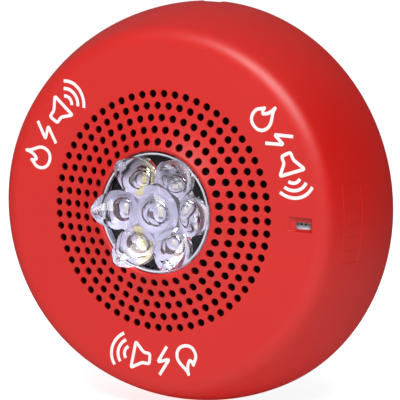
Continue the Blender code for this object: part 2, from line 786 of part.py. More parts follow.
def release_latch(materials):
    """A springy tongue whose catch shows in the notch. Its origin is on the line it flexes about."""
    # Upwards from the line it flexes about, and forwards from the plate's front, in millimetres
    tongue = [(-1.8, 0.9), (-1.8, -1.1), (9.0, -1.1)]
    catch = [(12.4, 0.3), (12.4, 2.0), (9.6, 2.0), (8.4, 0.9)]
    outline = tongue + catch
    half = NOTCH_WIDTH / 2 - 0.8 * MM
    bm = bmesh.new()
    verts = [bm.verts.new((-half, -forward * MM, up * MM)) for up, forward in outline]
    face = bm.faces.new(verts)
    moved = bmesh.ops.extrude_face_region(bm, geom=[face])["geom"]
    far = [item for item in moved if isinstance(item, bmesh.types.BMVert)]
    bmesh.ops.translate(bm, vec=(2 * half, 0, 0), verts=far)
    origin = at(0, PLATE_THICKNESS, LATCH_ROOT_Z)
    return finish_mesh("release_latch", bm, materials["red_plastic"], origin, smooth=False)


def terminal_block(materials):
    """A barrier strip: a base with fins between the terminals and a bore under each screw."""
    back = PLATE_THICKNESS + GAP
    fin_front = 12 * MM
    half_fin = 0.9 * MM
    reach = TERMINAL_COUNT / 2 * TERMINAL_PITCH
    outline = [(-reach - half_fin, back), (reach + half_fin, back)]
    for k in range(TERMINAL_COUNT, -1, -1):
        x = (k - TERMINAL_COUNT / 2) * TERMINAL_PITCH
        outline += [(x + half_fin, fin_front), (x - half_fin, fin_front)]
        if k:
            outline += [(x - half_fin, TERMINAL_BASE_FRONT)]
            outline += [(x - TERMINAL_PITCH + half_fin, TERMINAL_BASE_FRONT)]
    black = materials["black_plastic"]
    strip = extruded("terminal_block", outline, -37 * MM, -12 * MM, black)
    for x in terminal_places():
        origin = at(x, 0, TERMINAL_SCREW_Z)
        cut(strip, disc("bore", 2.0 * MM, 3.6 * MM, fin_front, black, origin, 16))
    return strip


def terminal_pair(number, x, materials):
    """A square wire clamp and the screw that goes through it."""
    back = TERMINAL_BASE_FRONT + GAP
    thickness = 1.2 * MM
    outline = rectangle(8.4 * MM, 9 * MM)
    hole = circle(2.0 * MM, 16)
    clamp = flat_sheet(
        f"terminal_clamp_{number}", outline, [hole], 0, thickness, materials["brass"],
        at(x, back, TERMINAL_SCREW_Z),
    )
    origin = at(x, back + thickness + GAP, TERMINAL_SCREW_Z)
    name = f"terminal_screw_{number}"
    return clamp, screw(name, 3.3 * MM, 1.6 * MM, 2.0 * MM, 5.0 * MM, origin, materials["steel"])


def hang(items, parent):
    """Parents items to an empty without moving them."""
    for item in items:
        item.parent = parent
        item.matrix_parent_inverse = parent.matrix_world.inverted()


def main():
    remove_everything()
    materials = make_materials()
    head = [
        front_cover(materials),
        grille_screen(materials),
        strobe_lens(materials),
        lens_gasket(materials),
        optic_holder(materials),
        *light_engine(materials),
        *horn(materials),
        *board_parts(materials),
        *candela_parts(materials),
        *rear_selector("tone", -SELECTOR_X, SELECTOR_Z, materials),
        *rear_selector("volume", SELECTOR_X, SELECTOR_Z, materials),
        rear_housing(materials),
        contact_header(materials),
    ]
    mounting_plate(materials)
    release_latch(materials)
    terminal_block(materials)
    for number, x in enumerate(terminal_places(), 1):
        terminal_pair(number, x, materials)

    pivot = bpy.data.objects.new("head_pivot", None)
    bpy.context.scene.collection.objects.link(pivot)
    pivot.location = at(0, PIVOT_DEPTH, PIVOT_Z)
    bpy.context.view_layer.update()
    hang(head, pivot)


main()
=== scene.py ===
"""Looks of the round red horn strobe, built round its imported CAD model.

The front faces -Y and +Z is up. Depth is measured forwards from the mounting face, so depth = -y.
"""

import json
import math

import bmesh
import bpy
from mathutils import Matrix, Vector
from mathutils.geometry import delaunay_2d_cdt


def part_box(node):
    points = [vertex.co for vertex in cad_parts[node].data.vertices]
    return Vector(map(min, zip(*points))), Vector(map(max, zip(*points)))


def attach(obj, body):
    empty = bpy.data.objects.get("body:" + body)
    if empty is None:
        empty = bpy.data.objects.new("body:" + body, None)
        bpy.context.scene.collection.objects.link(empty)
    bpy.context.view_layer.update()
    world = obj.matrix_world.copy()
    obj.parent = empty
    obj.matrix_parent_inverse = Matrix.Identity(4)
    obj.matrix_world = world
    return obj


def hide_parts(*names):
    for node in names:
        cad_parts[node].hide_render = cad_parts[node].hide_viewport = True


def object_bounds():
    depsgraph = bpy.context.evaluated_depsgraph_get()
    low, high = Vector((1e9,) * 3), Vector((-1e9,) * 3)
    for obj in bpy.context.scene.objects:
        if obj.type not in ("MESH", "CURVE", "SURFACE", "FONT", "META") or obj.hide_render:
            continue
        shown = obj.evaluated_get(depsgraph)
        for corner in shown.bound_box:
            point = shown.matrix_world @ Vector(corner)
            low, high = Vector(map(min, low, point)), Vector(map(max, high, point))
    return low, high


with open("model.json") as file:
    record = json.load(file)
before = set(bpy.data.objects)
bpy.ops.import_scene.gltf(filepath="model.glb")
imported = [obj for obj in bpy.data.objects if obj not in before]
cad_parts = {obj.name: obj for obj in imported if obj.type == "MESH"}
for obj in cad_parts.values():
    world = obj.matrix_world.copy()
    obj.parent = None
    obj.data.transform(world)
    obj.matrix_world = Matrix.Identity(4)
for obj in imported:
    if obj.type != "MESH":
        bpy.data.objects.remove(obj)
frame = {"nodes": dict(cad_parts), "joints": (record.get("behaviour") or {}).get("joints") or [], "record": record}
cad_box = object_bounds()

MM = 0.001
TURN = 2 * math.pi

# Shell, fitted to the CAD cover and to the screen behind it
SCREEN_LOW, SCREEN_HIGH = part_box("grille_screen")
RIM_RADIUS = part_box("front_cover")[1].x
RIM_DEPTH = 0.5 * MM
PIN_RADIUS = 1.5 * MM
LUG_WIDTH = 14.0 * MM
WALL = 2.2 * MM
FLARE_START = SCREEN_HIGH.x
FACE_DEPTH = -SCREEN_LOW.y + WALL + 0.3 * MM
SHOULDER_START = 68.3 * MM
SHOULDER_RADIUS = 8.2 * MM
SHOULDER_TURN = math.radians(64)
WALL_BULGE = 12.0 * MM
RIM_BULGE = 13.5 * MM
FLARE_RADIUS = 61.0 * MM
SHELL_SEGMENTS = 240
SHOULDER_STEPS = 14
WALL_STEPS = 20

# Sound holes
RING_PITCH = 4.8 * MM
FIRST_RING = 6
RING_COUNT = 5
HOLES_PER_STEP = 6
HOLE_RADIUS = 1.55 * MM
HOLE_SIDES = 20
HOLE_EDGE = 0.16 * MM
HOLE_BACK = 2.0 * MM

# Lens opening and optics
OPENING_RADIUS = 25.0 * MM
GRILLE_INNER_RADIUS = 26.7 * MM
LENS_LOW, LENS_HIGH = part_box("strobe_lens")
LENS_BACK = -LENS_HIGH.y
TIP_DEPTH = -LENS_LOW.y
LENS_RADIUS = 24.6 * MM
LENS_FLANGE = LENS_HIGH.x
OPTIC_CIRCLE = 16.4 * MM
OPTIC_COUNT = 6
OPTIC_FIT = 8.15 * MM
TIP_LEAN = 6.3 * MM
CENTRE_TIP = 55.6 * MM
FACETS = 8
TIP_SLOPE = 0.9
CENTRE_SLOPE = 0.62
HUB_RADIUS = 12.0 * MM
HUB_DEPTH = 50.5 * MM
HOLLOW_RADIUS = 4.6 * MM
HOLLOW_HEIGHT = 3.6 * MM
SKIRT_FRONT = LENS_BACK + 5.7 * MM
FLANGE_FRONT = LENS_BACK + 1.4 * MM
CUP_FLOOR = 43.2 * MM
CUP_BRIM = LENS_BACK + 2.62 * MM
TRAY_RADIUS = 18.0 * MM
TRAY_BACK = 45.62 * MM
TRAY_FRONT = 45.74 * MM
WELL_RADIUS = 5.8 * MM
# Cups that get a painted reflection of their emitter's yellow, with their emitters painted to match
PAINTED_REFLECTION_CUPS = (4, 6)

# Candela window
FLAG_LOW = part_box("candela_slider")[0]
INSERT_LOW, INSERT_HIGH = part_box("window_insert")
WINDOW_X = (INSERT_LOW.x + INSERT_HIGH.x) / 2
WINDOW_LENGTH = 10.6 * MM
WINDOW_WIDTH = 6.1 * MM
WINDOW_LEFT = WINDOW_X - WINDOW_LENGTH / 2
WINDOW_RIGHT = WINDOW_X + WINDOW_LENGTH / 2
WINDOW_FLOOR = FACE_DEPTH - 1.85 * MM
SLOT_LEFT = WINDOW_LEFT + 2.9 * MM
SLOT_RIGHT = WINDOW_RIGHT - 1.3 * MM
SLOT_LOW = -WINDOW_WIDTH / 2 + 1.05 * MM
SLOT_HIGH = WINDOW_WIDTH / 2 - 2.2 * MM
SLOT_PLAY = 0.15 * MM

# Legend
LEGEND_INNER = 55.6 * MM
LEGEND_HEIGHT = 12.0 * MM
LEGEND_STROKE = 1.4 * MM
LEGEND_CENTRE = math.radians(28.4)
LEGEND_SPAN = math.radians(37)

# Raised frame on the right side of the shell
FRAME_DEPTHS = (25.0 * MM, 35.0 * MM)
FRAME_Z = (-15.5 * MM, 16.0 * MM)
FRAME_BEAD = 0.17 * MM

# Ribs on the rear housing and the mounting plate
PLATE_THICKNESS = 2.5 * MM
HOUSING_RIB = 1.3 * MM
PLATE_RIB = 1.1 * MM
HOUSING_POCKETS = 24
PLATE_POCKETS = 36

# Stage
FLOOR_GLOW = 0.8
FLOOR_BOUNCE = 0.42
SOFTBOX_PLACE = (0.36, -0.97, 1.01)
SOFTBOX_SIZE = (1.05, 0.62)
SOFTBOX_WATTS = 17
CARD_PLACE = (0.55, 0.25, 0.42)

# Camera, as fitted to the rings of sound holes. Its offset is in radii of the outermost ring
CAMERA_AZIMUTH = math.radians(27.35)
CAMERA_ELEVATION = math.radians(6.43)
CAMERA_ROLL = math.radians(-1.06)
CAMERA_OFFSET = (0.331, 0.097, 19.608)
SPOKE_TURN = math.radians(2.85)
FOCAL_LENGTH = 208.404


def face_depth(radius):
    """Depth of the front surface: flat outside FLARE_START, then an arc that rises to the lens."""
    inwards = max(0.0, FLARE_START - radius)
    return FACE_DEPTH + FLARE_RADIUS - math.sqrt(FLARE_RADIUS**2 - inwards**2)


def face_normal(x, z):
    """Unit normal of the front surface at (x, z)."""
    radius = math.hypot(x, z)
    inwards = max(0.0, FLARE_START - radius)
    slope = inwards / math.sqrt(FLARE_RADIUS**2 - inwards**2)
    if radius == 0:
        return Vector((0, -1, 0))
    return Vector((slope * x / radius, -1, slope * z / radius)).normalized()


def bend(start, first, second, end, steps=10):
    """Points along a cubic Bezier curve, without its first one."""
    points = []
    for k in range(1, steps + 1):
        t = k / steps
        weights = ((1 - t) ** 3, 3 * t * (1 - t) ** 2, 3 * t * t * (1 - t), t**3)
        corners = (start, first, second, end)
        points.append(tuple(sum(w * c[axis] for w, c in zip(weights, corners)) for axis in (0, 1)))
    return points


def shoulder(inset):
    """(radius, depth) points round the shoulder, the given distance under its surface."""
    turned_radius = SHOULDER_RADIUS - inset
    points = []
    for k in range(1, SHOULDER_STEPS + 1):
        angle = SHOULDER_TURN * k / SHOULDER_STEPS
        points.append((
            SHOULDER_START + turned_radius * math.sin(angle),
            FACE_DEPTH - SHOULDER_RADIUS + turned_radius * math.cos(angle),
        ))
    return points


def side_wall():
    """(radius, depth) points from the shoulder's end down to the rim."""
    start = shoulder(0)[-1]
    first = (
        start[0] + WALL_BULGE * math.cos(SHOULDER_TURN),
        start[1] - WALL_BULGE * math.sin(SHOULDER_TURN),
    )
    end = (RIM_RADIUS, RIM_DEPTH + 0.5 * MM)
    return [start, *bend(start, first, (RIM_RADIUS, end[1] + RIM_BULGE), end, WALL_STEPS)]


def wall_radius(depth):
    """Radius of the outer side wall at a depth."""
    wall = side_wall()
    for (near, high), (far, low) in zip(wall, wall[1:]):
        if depth >= low:
            return near + (far - near) * min(1.0, (high - depth) / (high - low))
    return RIM_RADIUS


# -------- meshes


def arc(centre, radius, start, end, steps=12, height=None):
    """Points along an arc between two angles in degrees. Another height makes it elliptical."""
    height = height or radius
    angles = [math.radians(start + (end - start) * k / steps) for k in range(steps + 1)]
    return [(centre[0] + radius * math.cos(a), centre[1] + height * math.sin(a)) for a in angles]


def circle(radius, count, centre=(0.0, 0.0), start=0.0):
    """A loop of (x, z) points."""
    angles = [start + TURN * k / count for k in range(count)]
    return [(centre[0] + radius * math.cos(a), centre[1] + radius * math.sin(a)) for a in angles]


def rounded_box_loop(x_low, x_high, z_low, z_high, radius, steps=4):
    """A rounded rectangle as (x, z) points, anticlockwise from its lower right corner."""
    corners = [
        (x_high - radius, z_low + radius, -90),
        (x_high - radius, z_high - radius, 0),
        (x_low + radius, z_high - radius, 90),
        (x_low + radius, z_low + radius, 180),
    ]
    loop = []
    for x, z, start in corners:
        loop += arc((x, z), radius, start, start + 90, steps)
    return loop


def placed(name, data):
    """A new object of that data, in the scene."""
    item = bpy.data.objects.new(name, data)
    bpy.context.scene.collection.objects.link(item)
    return item


def object_from(bm, name, material, smooth_angle=35):
    """Turns a bmesh into an object with one material, smooth but for its sharp edges."""
    bmesh.ops.recalc_face_normals(bm, faces=bm.faces)
    mesh = bpy.data.meshes.new(name)
    bm.to_mesh(mesh)
    bm.free()
    mesh.materials.append(material)
    mesh.shade_smooth()
    mesh.set_sharp_from_angle(angle=math.radians(smooth_angle))
    return placed(name, mesh)


def evaluated_mesh(item):
    """The mesh of an object as its modifiers or curve settings shape it."""
    bpy.context.view_layer.update()
    graph = bpy.context.evaluated_depsgraph_get()
    return bpy.data.meshes.new_from_object(item.evaluated_get(graph))


def join_rings(bm, rings):
    """Quads between each ring of vertices and the next."""
    for near, far in zip(rings, rings[1:]):
        for k in range(len(near)):
            n = (k + 1) % len(near)
            bm.faces.new((near[k], near[n], far[n], far[k]))


def turned(name, profile, material, origin=(0, 0, 0), segments=96, smooth_angle=35):
    """Spins a (radius, depth) profile round the Y axis. Its ends lie on the axis, or it is closed."""
    bm = bmesh.new()
    verts = [bm.verts.new((radius, -depth, 0)) for radius, depth in profile]
    edges = [bm.edges.new(pair) for pair in zip(verts, verts[1:])]
    if profile[0][0] > 0:
        edges.append(bm.edges.new((verts[-1], verts[0])))
    bmesh.ops.spin(
        bm, geom=verts + edges, cent=(0, 0, 0), axis=(0, 1, 0), angle=TURN, steps=segments
    )
    bmesh.ops.remove_doubles(bm, verts=bm.verts, dist=1e-6)
    item = object_from(bm, name, material, smooth_angle)
    item.location = origin
    return item


def combine(item, other, operation, solver="EXACT"):
    """Applies a Boolean of other to item and removes other."""
    modifier = item.modifiers.new(operation.lower(), "BOOLEAN")
    modifier.operation = operation
    modifier.solver = solver
    modifier.object = other
    result = evaluated_mesh(item)
    item.modifiers.clear()
    item.data = result
    bpy.data.objects.remove(other, do_unlink=True)


def box_piece(name, low, high, material, bevel=0.0, segments=2):
    """A bevelled box between two corners in the row frame."""
    low, high = Vector(low), Vector(high)
    bm = bmesh.new()
    bmesh.ops.create_cube(bm, size=1.0)
    bmesh.ops.scale(bm, vec=high - low, verts=bm.verts)
    bmesh.ops.translate(bm, vec=(high + low) / 2, verts=bm.verts)
    if bevel:
        bmesh.ops.bevel(bm, geom=bm.edges, offset=bevel, segments=segments, profile=0.7, affect="EDGES")
    return object_from(bm, name, material)


def fine_sheet(loops, extra):
    """Triangulates the region between convex loops. Returns (flat points, triangles, corner lists)."""
    points, owner, edges = [], [], []
    for index, loop in enumerate(loops):
        first = len(points)
        points += [Vector(p) for p in loop]
        owner += [index] * len(loop)
        edges += [(first + k, first + (k + 1) % len(loop)) for k in range(len(loop))]
    points += [Vector(p) for p in extra]
    owner += [None] * len(extra)
    flat, _, triangles, sources, _, _ = delaunay_2d_cdt(points, edges, [], 1, 1e-9)
    place = {source: index for index, found in enumerate(sources) for source in found}
    kept = []
    for triangle in triangles:
        owners = {owner[sources[corner][0]] for corner in triangle}
        if len(owners) > 1 or owners.pop() in (None, 0):
            kept.append(triangle)
    corners, first = [], 0
    for loop in loops:
        corners.append([place[first + k] for k in range(len(loop))])
        first += len(loop)
    return flat, kept, corners


def pierced_plate(name, outline, holes, back, front, material):
    """A flat plate between two depths, with straight holes."""
    bm = bmesh.new()
    flat, triangles, corners = fine_sheet([outline, *holes], [])
    sides = [[bm.verts.new((p.x, -depth, p.y)) for p in flat] for depth in (front, back)]
    for triangle in triangles:
        bm.faces.new([sides[0][corner] for corner in triangle])
        bm.faces.new([sides[1][corner] for corner in reversed(triangle)])
    for loop in corners:
        join_rings(bm, [[sides[0][c] for c in loop], [sides[1][c] for c in loop]])
    bmesh.ops.delete(bm, geom=[v for v in bm.verts if not v.link_faces], context="VERTS")
    return object_from(bm, name, material)


# -------- materials


def feed(tree, socket, value):
    """Links a socket to another one, or sets its value."""
    if isinstance(value, bpy.types.NodeSocket):
        tree.links.new(value, socket)
    else:
        socket.default_value = value


def add_node(tree, kind, inputs, **settings):
    """Adds a shader node with its settings, then feeds its inputs."""
    node = tree.nodes.new("ShaderNode" + kind)
    for name, value in settings.items():
        setattr(node, name, value)
    for name, value in inputs.items():
        feed(tree, node.inputs[name], value)
    return node


class Shader:
    """A Principled material with helpers that add procedural detail in object space."""

    def __init__(self, name, colour, roughness, metallic=0.0):
        self.material = bpy.data.materials.new(name)
        self.material.use_nodes = True
        self.tree = self.material.node_tree
        self.surface = self.tree.nodes["Principled BSDF"]
        self.colour = (*colour, 1.0)
        self.set("Base Color", self.colour)
        self.set("Roughness", roughness)
        self.set("Metallic", metallic)
        self.place = self.add("TexCoord", {}).outputs["Object"]
        self.height = None

    def add(self, kind, inputs, **settings):
        """Adds a node to this material."""
        return add_node(self.tree, kind, inputs, **settings)

    def set(self, name, value):
        feed(self.tree, self.surface.inputs[name], value)

    def noise(self, scale, detail=3.0, stretch=None):
        place = self.place
        if stretch:
            place = self.add("Mapping", {"Vector": place, "Scale": stretch}).outputs["Vector"]
        inputs = {"Vector": place, "Scale": scale, "Detail": detail}
        return self.add("TexNoise", inputs).outputs["Fac"]

    def between(self, factor, low, high, start=0.3, end=0.7):
        """A value that runs from low to high as factor goes from start to end."""
        inputs = {"Value": factor, "From Min": start, "From Max": end, "To Min": low, "To Max": high}
        return self.add("MapRange", inputs).outputs["Result"]

    def vary_roughness(self, scale, low, high):
        self.set("Roughness", self.between(self.noise(scale), low, high))

    def mix(self, factor, first, second):
        """A colour that goes from the first to the second as factor rises."""
        inputs = {"Factor": factor, "A": first, "B": second}
        return self.add("Mix", inputs, data_type="RGBA").outputs["Result"]

    def mix_colour(self, factor, other):
        """Blends from the base colour to another as factor rises."""
        self.set("Base Color", self.mix(factor, self.colour, (*other, 1.0)))

    def vary_colour(self, scale, other, share=1.0, detail=3.0, stretch=None):
        self.mix_colour(self.between(self.noise(scale, detail, stretch), 0.0, share), other)

    def paint_recess_shade(self, reach, dark):
        """Darkens the base colour in narrow recesses: painted shade, where little light reaches hollows, hole
        edges and slots.
        """
        painted = self.surface.inputs["Base Color"].links[0].from_socket
        hollow = self.add("AmbientOcclusion", {"Distance": reach}, samples=6, only_local=True)
        openness = self.between(hollow.outputs["AO"], 0.0, 1.0)
        self.set("Base Color", self.mix(openness, (*dark, 1.0), painted))

    def bump(self, factor, distance, strength=1.0):
        """Adds relief. Bumps chain, so that fine grain can sit on a broader texture."""
        inputs = {"Height": factor, "Distance": distance, "Strength": strength}
        if self.height is not None:
            inputs["Normal"] = self.height
        self.height = self.add("Bump", inputs).outputs["Normal"]
        self.set("Normal", self.height)


def moulded(name, colour, shade, roughness, grain=0.012 * MM):
    """Moulded plastic with a fine spark-eroded grain and slightly uneven colour and gloss."""
    shader = Shader(name, colour, roughness)
    shader.vary_colour(35, shade, 0.6)
    shader.vary_roughness(60, roughness - 0.04, roughness + 0.05)
    shader.bump(shader.noise(2600, 2.0), grain)
    return shader.material


def red_plastic():
    shader = Shader("red_shell", (0.67, 0.009, 0.005), 0.42)
    shader.vary_colour(22, (0.63, 0.008, 0.005), 0.7)
    # Painted shade: the red darkens in recesses, at hole edges and in the window slot.
    shader.paint_recess_shade(2.5 * MM, (0.16, 0.001, 0.001))
    shader.vary_roughness(90, 0.39, 0.45)
    shader.bump(shader.noise(1900, 2.5), 0.016 * MM, 0.8)
    shader.set("Specular IOR Level", 0.72)
    return shader.material


def clear_plastic(name, tint):
    """Clear moulded plastic. Shadow rays pass through it, so that what lies behind it is lit."""
    shader = Shader(name, tint, 0.015)
    shader.vary_roughness(300, 0.0, 0.03)
    shader.bump(shader.noise(120, 1.0), 0.02 * MM, 0.5)
    shader.set("Transmission Weight", 1.0)
    shader.set("IOR", 1.52)
    through = shader.add("BsdfTransparent", {"Color": (*tint, 1.0)})
    inputs = {
        "Fac": shader.add("LightPath", {}).outputs["Is Shadow Ray"],
        1: shader.surface.outputs["BSDF"],
        2: through.outputs["BSDF"],
    }
    mix = shader.add("MixShader", inputs)
    output = shader.tree.nodes["Material Output"]
    feed(shader.tree, output.inputs["Surface"], mix.outputs["Shader"])
    return shader.material


def printed_white():
    shader = Shader("printed_white", (0.93, 0.9, 0.9), 0.42)
    shader.vary_colour(160, (0.86, 0.8, 0.8), 0.6)
    shader.bump(shader.noise(2200, 2.0), 0.012 * MM)
    return shader.material


def circuit_board(name, mask, light):
    """Solder mask over traces: a fine cell pattern that stands a little proud."""
    shader = Shader(name, mask, 0.3)
    inputs = {"Vector": shader.place, "Scale": 260}
    cells = shader.add("TexVoronoi", inputs, feature="DISTANCE_TO_EDGE", distance="CHEBYCHEV")
    ramp = shader.add("ValToRGB", {"Fac": cells.outputs["Distance"]})
    for element, position, level in zip(ramp.color_ramp.elements, (0.05, 0.09), (1, 0)):
        element.position = position
        element.color = (level, level, level, 1)
    shader.mix_colour(ramp.outputs["Color"], light)
    shader.bump(ramp.outputs["Color"], 0.03 * MM)
    return shader.material


def metal(name, colour, other, roughness, brushed=None):
    shader = Shader(name, colour, roughness, metallic=1.0)
    shader.vary_colour(140, other, 0.7, stretch=brushed)
    shader.vary_roughness(420, roughness - 0.06, roughness + 0.1)
    shader.bump(shader.noise(900, 2.0, brushed), 0.006 * MM)
    return shader.material


def woven_cloth():
    """Black acoustic cloth: two crossed sets of threads."""
    shader = Shader("screen_cloth", (0.004, 0.0035, 0.004), 1.0)
    shader.set("Specular IOR Level", 0.1)
    heights = []
    for axis in ("X", "Z"):
        inputs = {"Vector": shader.place, "Scale": 620, "Distortion": 0.6}
        heights.append(shader.add("TexWave", inputs, bands_direction=axis).outputs["Fac"])
    weave = shader.add("Math", {0: heights[0], 1: heights[1]}, operation="MULTIPLY")
    shader.mix_colour(weave.outputs["Value"], (0.009, 0.008, 0.009))
    shader.bump(weave.outputs["Value"], 0.08 * MM)
    return shader.material


def reflector_white(name, glow):
    """Satin white cup plastic. With glow, a tall yellow strip runs up the cup: a painted reflection of the
    emitter.
    """
    shader = Shader(name, (0.62, 0.61, 0.70), 0.35)
    shader.vary_roughness(200, 0.3, 0.42)
    shader.bump(shader.noise(1200, 2.0), 0.01 * MM)
    # Painted reflection: the yellow strip stands for the emitter's image in the cup, not a colour of the cup.
    if glow:
        split = shader.add("SeparateXYZ", {"Vector": shader.place})
        side = shader.add("Math", {0: split.outputs["X"]}, operation="ABSOLUTE")
        band = shader.between(side.outputs["Value"], 1.0, 0.0, 1.7 * MM, 2.1 * MM)
        shader.mix_colour(band, (0.78, 0.71, 0.36))
    else:
        shader.vary_colour(120, (0.56, 0.55, 0.66), 0.8)
    return shader.material


def phosphor(name, colour, shade):
    shader = Shader(name, colour, 0.45)
    shader.vary_colour(900, shade, 0.8)
    shader.bump(shader.noise(3000, 2.0), 0.01 * MM)
    return shader.material


def rubber():
    shader = Shader("black_rubber", (0.010, 0.010, 0.011), 0.85)
    shader.vary_colour(80, (0.018, 0.017, 0.017), 0.8)
    shader.set("Specular IOR Level", 0.25)
    shader.bump(shader.noise(1500, 3.0), 0.03 * MM)
    return shader.material


def polyimide():
    shader = Shader("film", (0.66, 0.42, 0.12), 0.25)
    shader.vary_colour(60, (0.5, 0.28, 0.07), 0.8)
    shader.bump(shader.noise(500, 2.0), 0.02 * MM)
    return shader.material


def make_materials():
    return {
        "red_shell": red_plastic(),
        "clear_lens": clear_plastic("clear_lens", (0.95, 0.94, 1.0)),
        # Painted highlight: the pale ring on the lens lip
        "rim_painted_highlight": moulded("rim_painted_highlight", (0.66, 0.65, 0.74), (0.58, 0.57, 0.66), 0.25),
        "printed_white": printed_white(),
        "black_plastic": moulded("black_plastic", (0.009, 0.009, 0.011), (0.016, 0.016, 0.018), 0.5),
        "grey_plastic": moulded("grey_plastic", (0.30, 0.30, 0.31), (0.35, 0.35, 0.35), 0.5),
        "white_plastic": moulded("white_plastic", (0.84, 0.84, 0.82), (0.78, 0.78, 0.75), 0.4),
        "cup": reflector_white("cup", False),
        "cup_painted_reflection": reflector_white("cup_painted_reflection", True),
        "black_rubber": rubber(),
        "screen_cloth": woven_cloth(),
        "board_green": circuit_board("board_green", (0.012, 0.13, 0.05), (0.03, 0.22, 0.08)),
        "board_white": circuit_board("board_white", (0.84, 0.84, 0.86), (0.74, 0.74, 0.77)),
        "phosphor": phosphor("phosphor", (0.80, 0.72, 0.34), (0.74, 0.65, 0.28)),
        "pale_phosphor": phosphor("pale_phosphor", (0.86, 0.83, 0.66), (0.80, 0.77, 0.60)),
        "aluminium": metal("aluminium", (0.78, 0.79, 0.81), (0.7, 0.71, 0.73), 0.32, (1, 1, 8)),
        "steel": metal("steel", (0.62, 0.62, 0.64), (0.52, 0.53, 0.56), 0.28),
        "brass": metal("brass", (0.78, 0.57, 0.23), (0.66, 0.45, 0.16), 0.3),
        "ferrite": moulded("ferrite", (0.05, 0.05, 0.054), (0.08, 0.078, 0.08), 0.6, 0.03 * MM),
        "copper": metal("copper", (0.74, 0.34, 0.16), (0.6, 0.24, 0.1), 0.3, (1, 60, 1)),
        "film": polyimide(),
    }


# -------- front cover


def sound_holes():
    """(centre x, centre z) of each hole."""
    places = []
    for step in range(FIRST_RING, FIRST_RING + RING_COUNT):
        count = step * HOLES_PER_STEP
        for k in range(count):
            angle = TURN * k / count
            places.append((step * RING_PITCH * math.cos(angle), step * RING_PITCH * math.sin(angle)))
    return places


def support_points():
    """Points between the holes and on the flat face, so that the sheet bends evenly."""
    points = []
    for step in range(RING_COUNT):
        radius = (FIRST_RING + 0.5 + step) * RING_PITCH
        points += circle(radius, int((FIRST_RING + 0.5 + step) * 2 * HOLES_PER_STEP * 1.5))
    points += circle(FLARE_START, 180)
    for radius in (55.5 * MM, 66.4 * MM):
        points += circle(radius, SHELL_SEGMENTS // 2)
    return [p for p in points if abs(p[0] - WINDOW_X) > 6.5 * MM or abs(p[1]) > 4 * MM]


def outer_path():
    """(radius, depth) rings from the face over the shoulder to the rim, then up inside the wall."""
    rim = RIM_RADIUS
    path = shoulder(0) + side_wall()[1:]
    path += [(rim - 0.12 * MM, RIM_DEPTH + 0.14 * MM), (rim - 0.45 * MM, RIM_DEPTH)]
    path += [(rim - WALL + 0.4 * MM, RIM_DEPTH), (rim - WALL, RIM_DEPTH + 0.4 * MM)]
    inside = [(radius - WALL, depth) for radius, depth in reversed(side_wall()[2:-1])]
    return path + inside + shoulder(WALL)[::-1]


def opening_path():
    """Round the lip of the lens opening, from the front surface to the back one."""
    edge = 0.9 * MM
    lip = face_depth(OPENING_RADIUS + edge)
    path = arc((OPENING_RADIUS + edge, lip - edge), edge, 90, 180, 5)
    back = face_depth(OPENING_RADIUS) - WALL
    return [*path, (OPENING_RADIUS, back + 0.25 * MM), (OPENING_RADIUS + 0.25 * MM, back)]


def window_loops():
    """The candela window as (loop, depth) rings: a ramp on its inner side, a floor and a slot."""
    half = WINDOW_WIDTH / 2
    steps = (
        (0.0, 0.0, 0.0, 0.5 * MM, FACE_DEPTH),
        (0.2 * MM, 0.15 * MM, 0.15 * MM, 0.45 * MM, FACE_DEPTH - 0.2 * MM),
        (2.5 * MM, 0.3 * MM, 0.3 * MM, 0.4 * MM, WINDOW_FLOOR),
    )
    loops = []
    for ramp, inset, narrower, corner, depth in steps:
        sides = (WINDOW_LEFT + ramp, WINDOW_RIGHT - inset, -half + narrower, half - narrower)
        loops.append((rounded_box_loop(*sides, corner), depth))
    slot = rounded_box_loop(SLOT_LEFT, SLOT_RIGHT, SLOT_LOW, SLOT_HIGH, 0.7 * MM)
    return [*loops, (slot, WINDOW_FLOOR - 0.02 * MM), (slot, FACE_DEPTH - WALL)]


def hole_rings(bm, centre, front_ring, back_ring):
    """Rounds the front edge of a sound hole, which widens towards the back."""
    rings = [front_ring]
    for k in range(1, 4):
        angle = math.pi / 2 * k / 3
        shrink = HOLE_EDGE * math.sin(angle)
        drop = HOLE_EDGE * (1 - math.cos(angle))
        radius = HOLE_RADIUS + HOLE_EDGE - shrink
        ring = []
        for vert in front_ring:
            out = Vector((vert.co.x - centre[0], vert.co.z - centre[1])).normalized() * radius
            x, z = centre[0] + out.x, centre[1] + out.y
            ring.append(bm.verts.new((x, -(face_depth(math.hypot(x, z)) - drop), z)))
        rings.append(ring)
    rings.append(back_ring)
    join_rings(bm, rings)


def cover_sheet(bm, holes, window):
    """Both surfaces of the pierced face. Returns (flat points, front, back, corner lists)."""
    outline = circle(SHOULDER_START, SHELL_SEGMENTS)
    opening = circle(GRILLE_INNER_RADIUS, SHELL_SEGMENTS // 2)
    wide = HOLE_RADIUS + HOLE_EDGE
    front_holes = [circle(wide, HOLE_SIDES, c, math.atan2(c[1], c[0])) for c in holes]
    back_holes = [circle(HOLE_BACK, HOLE_SIDES, c, math.atan2(c[1], c[0])) for c in holes]
    loops = [outline, opening, window[0][0], *front_holes]
    flat, triangles, corners = fine_sheet(loops, support_points())
    back_flat = [p.copy() for p in flat]
    for places, loop in zip(corners[2:], [window[-1][0], *back_holes]):
        for corner, point in zip(places, loop):
            back_flat[corner] = Vector(point)
    front = [bm.verts.new((p.x, -face_depth(p.length), p.y)) for p in flat]
    back = [bm.verts.new((p.x, -(face_depth(p.length) - WALL), p.y)) for p in back_flat]
    for triangle in triangles:
        bm.faces.new([front[corner] for corner in triangle])
        bm.faces.new([back[corner] for corner in reversed(triangle)])
    return flat, front, back, corners


